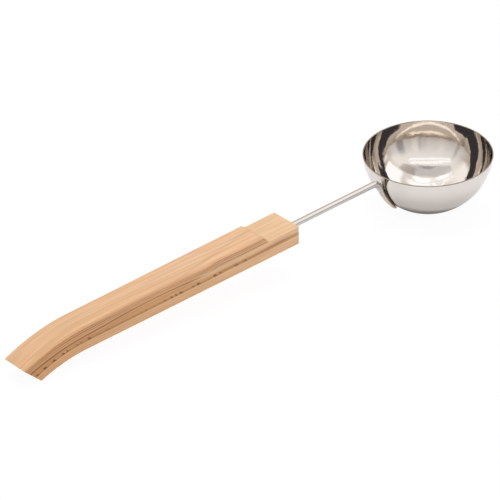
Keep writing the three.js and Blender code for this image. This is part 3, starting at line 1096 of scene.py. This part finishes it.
skin, skin_grain, skin_ledge_and_glow = handle_grid()
face = skin[0]
turn = np.arctan2(face[:, 2] - ROD_HEIGHT, face[:, 1])
mouth = np.stack([
    np.full(len(turn), HANDLE_FRONT),
    BORE_RADIUS * np.cos(turn),
    ROD_HEIGHT + BORE_RADIUS * np.sin(turn),
], -1)
share = np.linspace(0, 1, FACE_ROWS)[:-1, None, None]
front_face = mouth + (face - mouth) * share
depth = np.linspace(BORE_DEPTH, 0, BORE_ROWS)[:-1, None, None]
bore = mouth - depth * np.array([1, 0, 0])
grid = np.concatenate([bore, front_face, skin])
grain_front = np.concatenate([bore, front_face])
grain_front = np.stack([
    HANDLE_FRONT - grain_front[..., 0],
    grain_front[..., 1] + FRONT_WIDTH / 2,
    grain_front[..., 2] - HANDLE_BOTTOM,
], -1)
bore_end = np.array([HANDLE_FRONT - BORE_DEPTH, 0, ROD_HEIGHT])
end_middle = skin[-1].mean(0)
grain = np.concatenate([
    grain_front.reshape(-1, 3),
    skin_grain.reshape(-1, 3),
    [[BORE_DEPTH, FRONT_WIDTH / 2, ROD_HEIGHT - HANDLE_BOTTOM]],
    [skin_grain[-1].mean(0)],
])
finish = np.zeros((len(grain), 3))
finish[len(grain_front.reshape(-1, 3)) : -2] = skin_ledge_and_glow.reshape(-1, 3)
handle = make_piece(
    "bent_handle",
    to_frame(grid),
    to_frame(bore_end),
    to_frame(end_middle),
    [alder],
    vectors={"grain": grain, "finish": finish},
)
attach(handle, "root")
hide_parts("handle")

# %% [markdown]
# ## The glue
# The glue round the tang is out of sight in the bore. Its CAD shape is right as it is, so the node
# stays and only gets a finish: set wood glue, yellowish and slightly glossy.

# %% Glue
CLOUD_SIZE = 4

# Set wood glue gives the eye a cloudy, yellowish surface with a slight gloss.
set_glue, tree = new_material("set_wood_glue")
place = add_node(tree, "TexCoord").outputs["Object"]
cloud = add_node(tree, "TexNoise", {"Vector": place, "Scale": 1000 / CLOUD_SIZE, "Detail": 2.0})
tone = add_node(tree, "ValToRGB", {"Fac": cloud}, [(0.3, "#bfa973"), (0.7, "#d6c595")])
surface = add_node(tree, "BsdfPrincipled", {"Base Color": tone, "Roughness": 0.35})
add_node(tree, "OutputMaterial", {"Surface": surface})
glue_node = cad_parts["tang_glue"]
glue_node.data.materials.clear()
glue_node.data.materials.append(set_glue)
print("glue keeps its CAD node:", glue_node.name)

# %% [markdown]
# ## The table
# The ladle lies on a white table. Its paint is plain and diffuse for the light that bounces off
# it. To the camera most of its white is its own, and in reflections a little of it, so that it is
# plain white and still keeps a faint shadow. Steel sees the table under the bowl from very close,
# in the bowl's own shade. There the paint is darker for reflections alone, and that gives the
# dark lower edge of the bowl.

# %% Floor
FLOOR_SIZE = 12.0
TABLE_WHITE = 0.97
OWN_WHITE = 0.92
MIRRORED_WHITE = 0.15
WHITE_STRENGTH = 1.02
SHADE_CORE = 23.0
SHADE_REACH = 36.0

# Matt white paint gives the eye an even ground with no gloss.
floor_paint, tree = new_material("white_table")
path = add_node(tree, "LightPath").outputs
place = add_node(tree, "TexCoord").outputs["Object"]
bowl_foot = (ball_centre.x, ball_centre.y, 0)
from_foot = add_node(tree, "VectorMath", {0: place, 1: bowl_foot}, operation="DISTANCE")
shade = add_node(tree, "MapRange", {
    "Value": from_foot,
    "From Min": SHADE_REACH / 1000,
    "From Max": SHADE_CORE / 1000,
}, interpolation_type="SMOOTHSTEP")
in_steel = add_node(tree, "Math", {0: shade, 1: path["Is Glossy Ray"]}, operation="MULTIPLY")
shaded = add_node(tree, "Mix", {
    "Factor": in_steel,
    "A": (TABLE_WHITE, TABLE_WHITE, TABLE_WHITE, 1),
    "B": linear("#6b645c"),
}, data_type="RGBA")
seen = add_node(tree, "Math", {0: path["Is Camera Ray"], 1: OWN_WHITE}, operation="MULTIPLY")
mirrored = add_node(tree, "Math", {0: path["Is Glossy Ray"], 1: MIRRORED_WHITE}, operation="MULTIPLY")
own_white = add_node(tree, "Math", {0: seen, 1: mirrored}, operation="MAXIMUM")
matt = add_node(tree, "BsdfDiffuse", {"Color": shaded})
white = add_node(tree, "Emission", {"Color": WHITE, "Strength": WHITE_STRENGTH})
table = add_node(tree, "MixShader", {0: own_white, 1: matt, 2: white})
add_node(tree, "OutputMaterial", {"Surface": table})

half = FLOOR_SIZE / 2
corners = [(-half, -half, 0), (half, -half, 0), (half, half, 0), (-half, half, 0)]
mesh = bpy.data.meshes.new("table_top")
mesh.from_pydata(corners, [], [(0, 1, 2, 3)])
mesh.materials.append(floor_paint)
floor = bpy.data.objects.new("table_top", mesh)
scene.collection.objects.link(floor)
print("table top in m:", FLOOR_SIZE)

# %% [markdown]
# ## The room
# The world is plain white to the camera and an even pale light to matt surfaces. Only reflections
# see a room: a wall behind the camera and a darker one opposite, each with its own tones by
# height, with folds of cloth hung round them that darken a few bearings. Steel takes more blue
# than red out of light at each bounce, more than its base colour gives here, so the near wall is
# browner from the second bounce on.

# %% World
FILL = 0.52
ROOM = 1.68
NEAR_START, NEAR_FULL = -0.2, 0.4
DRAPE_TOP, DRAPE_FULL = 0.62, 0.36
# Between the first reflection and the second, in Light Path's count of glossy bounces.
FIRST_ENDS = 1.5

world = bpy.data.worlds.new("studio")
scene.world = world
world.use_nodes = True
tree = world.node_tree
tree.nodes.clear()
path = add_node(tree, "LightPath").outputs
way = add_node(tree, "TexCoord").outputs["Generated"]
height = add_node(tree, "SeparateXYZ", {"Vector": way}).outputs["Z"]
near_wall = add_node(tree, "ValToRGB", {"Fac": height}, [
    (0.0, "#968f86"),
    (0.14, "#b0aaa3"),
    (0.25, "#bcb8b3"),
    (0.42, "#c9c7c4"),
    (0.55, "#cdcbc8"),
    (0.7, "#d3d1ce"),
    (1.0, "#d9d8d6"),
])
far_wall = add_node(tree, "ValToRGB", {"Fac": height}, [
    (0.0, "#93867a"),
    (0.28, "#aca293"),
    (0.38, "#9b8c7e"),
    (0.48, "#bdb3a2"),
    (0.7, "#bdb7ac"),
    (1.0, "#c1beb9"),
])
ahead = add_node(tree, "VectorMath", {0: way, 1: level_back}, operation="DOT_PRODUCT")
nearness = add_node(tree, "MapRange", {
    "Value": ahead,
    "From Min": NEAR_START,
    "From Max": NEAR_FULL,
}, interpolation_type="SMOOTHSTEP")
walls = add_node(tree, "Mix", {"Factor": nearness, "A": far_wall, "B": near_wall}, data_type="RGBA")
aside = add_node(tree, "VectorMath", {0: way, 1: level_right}, operation="DOT_PRODUCT")
compass = add_node(tree, "Math", {0: aside, 1: ahead}, operation="ARCTAN2")
bearing = add_node(tree, "MapRange", {"Value": compass, "From Min": -math.pi, "From Max": math.pi})
drape_tones = [
    (-85, "#f2f2f2"),
    (-66, "#f4f4f4"),
    (-61, "#c8c8c8"),
    (-56, "#f4f4f4"),
    (-44, "#f4f4f4"),
    (-29, "#ffffff"),
    (-18, "#f4f4f4"),
    (-4, "#f6f6f6"),
    (4, "#e8e8e8"),
    (8, "#eeeeee"),
    (11.5, "#d4d4d4"),
    (18, "#ffffff"),
    (24, "#ffffff"),
    (32, "#ececec"),
    (42, "#ececec"),
    (46.5, "#b4b4b4"),
    (55, "#b4b4b4"),
    (61, "#f0f0f0"),
]
folds = add_node(tree, "ValToRGB", {"Fac": bearing}, [(0.5 + at / 360, tone) for at, tone in drape_tones])
below = add_node(tree, "MapRange", {
    "Value": height,
    "From Min": DRAPE_TOP,
    "From Max": DRAPE_FULL,
}, interpolation_type="SMOOTHSTEP")
draped = add_node(tree, "Mix", {
    "Factor": below,
    "A": walls,
    "B": folds,
}, data_type="RGBA", blend_type="MULTIPLY")
again = add_node(tree, "Math", {0: path["Glossy Depth"], 1: FIRST_ENDS}, operation="GREATER_THAN")
behind = add_node(tree, "Math", {0: again, 1: nearness}, operation="MULTIPLY")
browned = add_node(tree, "Mix", {
    "Factor": behind,
    "A": draped,
    "B": linear("#efe5da"),
}, data_type="RGBA", blend_type="MULTIPLY")
fill = add_node(tree, "Background", {"Color": WHITE, "Strength": FILL})
room = add_node(tree, "Background", {"Color": browned, "Strength": ROOM})
backdrop = add_node(tree, "Background", {"Color": WHITE, "Strength": 1.0})
lit = add_node(tree, "MixShader", {0: path["Is Glossy Ray"], 1: fill, 2: room})
whole = add_node(tree, "MixShader", {0: path["Is Camera Ray"], 1: lit, 2: backdrop})
add_node(tree, "OutputWorld", {"Surface": whole})
print("room:", len(drape_tones), "tones round it, fill light", FILL)

# %% [markdown]
# ## The lamps
# A large lamp overhead, slightly behind the ladle, makes the top of the handle brighter than its
# side, and one in front lights the side. Reflections don't see them, because the studio cards
# further down stand for them there.

# %% Lamps
LAMP_SIZE = 1.2


def soft_lamp(name, azimuth, elevation, distance, power):
    """A square area lamp aimed at the origin, at an angle to the camera's right and an angle up."""
    bearing, rise = math.radians(azimuth), math.radians(elevation)
    level = level_back * math.cos(bearing) + level_right * math.sin(bearing)
    way = level * math.cos(rise) + Vector((0, 0, math.sin(rise)))
    lamp = bpy.data.objects.new(name, bpy.data.lights.new(name, "AREA"))
    lamp.data.size = LAMP_SIZE
    lamp.data.energy = power
    lamp.location = way * distance
    lamp.rotation_euler = way.to_track_quat("Z", "Y").to_euler()
    lamp.visible_glossy = False
    scene.collection.objects.link(lamp)
    print(f"{name}: {power} W, {distance} m away")


soft_lamp("overhead_softbox", 180, 80, 1.6, 10.0)
soft_lamp("front_softbox", 20, 28, 1.8, 9.0)

# %% [markdown]
# ## What the bowl mirrors
# A mirror shows its surroundings, so the look of the bowl comes from what hangs over it. Reflected
# in it are two strip lights in front of the ladle, a paler gap behind them, and softboxes straight
# overhead. The dark room behind the camera shows only in the second and later reflections near
# the bowl's sides. Each is a flat card one metre up, with soft edges, placed by how far it
# reaches to the camera's right and towards the camera. Only reflections see these cards.

# %% Studio cards
CARD_COLUMNS = 17


def studio_card(name, right, front, height, colour, strength, softness, depth, bow=0.0):
    """A level sheet over the bowl between two distances to the right and two to the front. A bow
    draws its ends back by that share of the squared distance from its middle. Its cover rises
    from 0 at each edge to 1 over a share of its side. A depth, a pair of bounds, keeps the card
    to the first reflection or to the later ones."""
    across, ahead = np.meshgrid(np.linspace(0, 1, CARD_COLUMNS), [0.0, 1.0])
    over = np.array(ball_centre) + np.array([0, 0, height])
    aside = right[0] + (right[1] - right[0]) * across
    nearer = front[0] + (front[1] - front[0]) * ahead - bow * (aside - sum(right) / 2) ** 2
    points = over + aside[..., None] * np.array(level_right) + nearer[..., None] * np.array(level_back)
    corner = np.arange(CARD_COLUMNS - 1)
    faces = np.stack([corner, corner + 1, corner + 1 + CARD_COLUMNS, corner + CARD_COLUMNS], -1)
    mesh = bpy.data.meshes.new(name)
    mesh.from_pydata(points.reshape(-1, 3).tolist(), [], faces.tolist())
    spread = mesh.attributes.new("spread", "FLOAT_VECTOR", "POINT")
    shares = np.stack([across, ahead, ahead * 0], -1)
    spread.data.foreach_set("vector", shares.astype(np.float32).ravel())

    paper, tree = new_material(name)
    place = add_node(tree, "Attribute", attribute_name="spread").outputs["Vector"]
    parts = add_node(tree, "SeparateXYZ", {"Vector": place}).outputs
    fades = []
    for axis, share in (("X", softness[0]), ("Y", softness[1])):
        inside = add_node(tree, "Math", {0: parts[axis], 1: 0.5}, operation="PINGPONG")
        fades.append(add_node(tree, "MapRange", {
            "Value": inside,
            "From Max": share,
        }, interpolation_type="SMOOTHSTEP"))
    sheet_cover = add_node(tree, "Math", {0: fades[0], 1: fades[1]}, operation="MULTIPLY")
    bounce = add_node(tree, "LightPath").outputs["Glossy Depth"]
    right_depth = add_node(tree, "Math", {
        0: bounce,
        1: sum(depth) / 2,
        2: (depth[1] - depth[0]) / 2,
    }, operation="COMPARE")
    cover = add_node(tree, "Math", {0: sheet_cover, 1: right_depth}, operation="MULTIPLY")
    clear = add_node(tree, "BsdfTransparent")
    glow = add_node(tree, "Emission", {"Color": linear(colour), "Strength": strength})
    card = add_node(tree, "MixShader", {0: cover, 1: clear, 2: glow})
    add_node(tree, "OutputMaterial", {"Surface": card})
    mesh.materials.append(paper)
    sheet = bpy.data.objects.new(name, mesh)
    scene.collection.objects.link(sheet)
    for kind in ("camera", "diffuse", "shadow", "transmission"):
        setattr(sheet, "visible_" + kind, False)


FIRST = (0, FIRST_ENDS)
LATER = (FIRST_ENDS, 99)
# Name, reach to the right and to the front and height over the ball in metres, colour,
# strength, softness along both sides, the reflections that see it, and bow.
cards = [
    ("strip_light_far", (-1.3, 0.8), (0.9, 1.1), 0.97, "#ffffff", 1.32, (0.06, 0.2), FIRST, 0.29),
    ("strip_light_near", (-1.15, 0.65), (0.69, 0.85), 0.97, "#ffffff", 1.36, (0.06, 0.15), FIRST, 0.22),
    ("left_glow", (0.45, 2.2), (0.05, 0.85), 0.98, "#fffaf4", 1.13, (0.45, 0.45), FIRST),
    ("lamp_arm", (0.25, 0.95), (0.08, 0.48), 0.985, "#c3bbb2", 1.0, (0.2, 0.2), FIRST),
    ("lamp_shade", (-0.45, 0.35), (0.45, 0.63), 0.99, "#b0afb1", 1.0, (0.4, 0.35), FIRST),
    ("lamp_gap", (-1.05, 1.0), (0.12, 0.68), 1.0, "#dedcda", 1.0, (0.08, 0.2), FIRST, 0.25),
    ("top_softbox", (-1.0, 0.47), (-0.08, 0.14), 0.98, "#ffffff", 1.5, (0.15, 0.2), FIRST),
    ("rear_softbox", (-1.1, 0.65), (-0.3, -0.05), 0.98, "#ffffff", 1.4, (0.15, 0.2), FIRST),
    ("side_softbox", (0.6, 1.9), (-0.9, 0.14), 0.97, "#ffffff", 1.4, (0.15, 0.15), FIRST),
    ("left_window", (1.9, 3.4), (-0.5, 0.4), 0.975, "#fffaf4", 1.05, (0.35, 0.35), FIRST),
    ("right_glow", (-3.0, -0.1), (-1.3, 0.4), 0.98, "#fffaf4", 1.25, (0.4, 0.35), FIRST),
    ("back_softbox", (0.05, 1.0), (-1.0, -0.4), 0.99, "#ffffff", 1.4, (0.15, 0.15), FIRST),
    ("dark_room", (-1.05, 0.58), (0.45, 2.4), 0.95, "#47464a", 1.0, (0.06, 0.12), LATER),
    ("dark_corner", (0.4, 0.95), (0.35, 1.35), 0.96, "#47464a", 1.0, (0.12, 0.12), LATER),
    ("rear_arc", (-2.3, 2.1), (-0.6, -0.25), 0.95, "#fff8ec", 1.8, (0.15, 0.35), LATER, -0.36),
    ("rear_window", (-2.1, 1.6), (-1.65, -1.0), 0.96, "#fff5e6", 1.7, (0.15, 0.3), LATER, -0.2),
]
for settings in cards:
    studio_card(*settings)
print(len(cards), "studio cards")
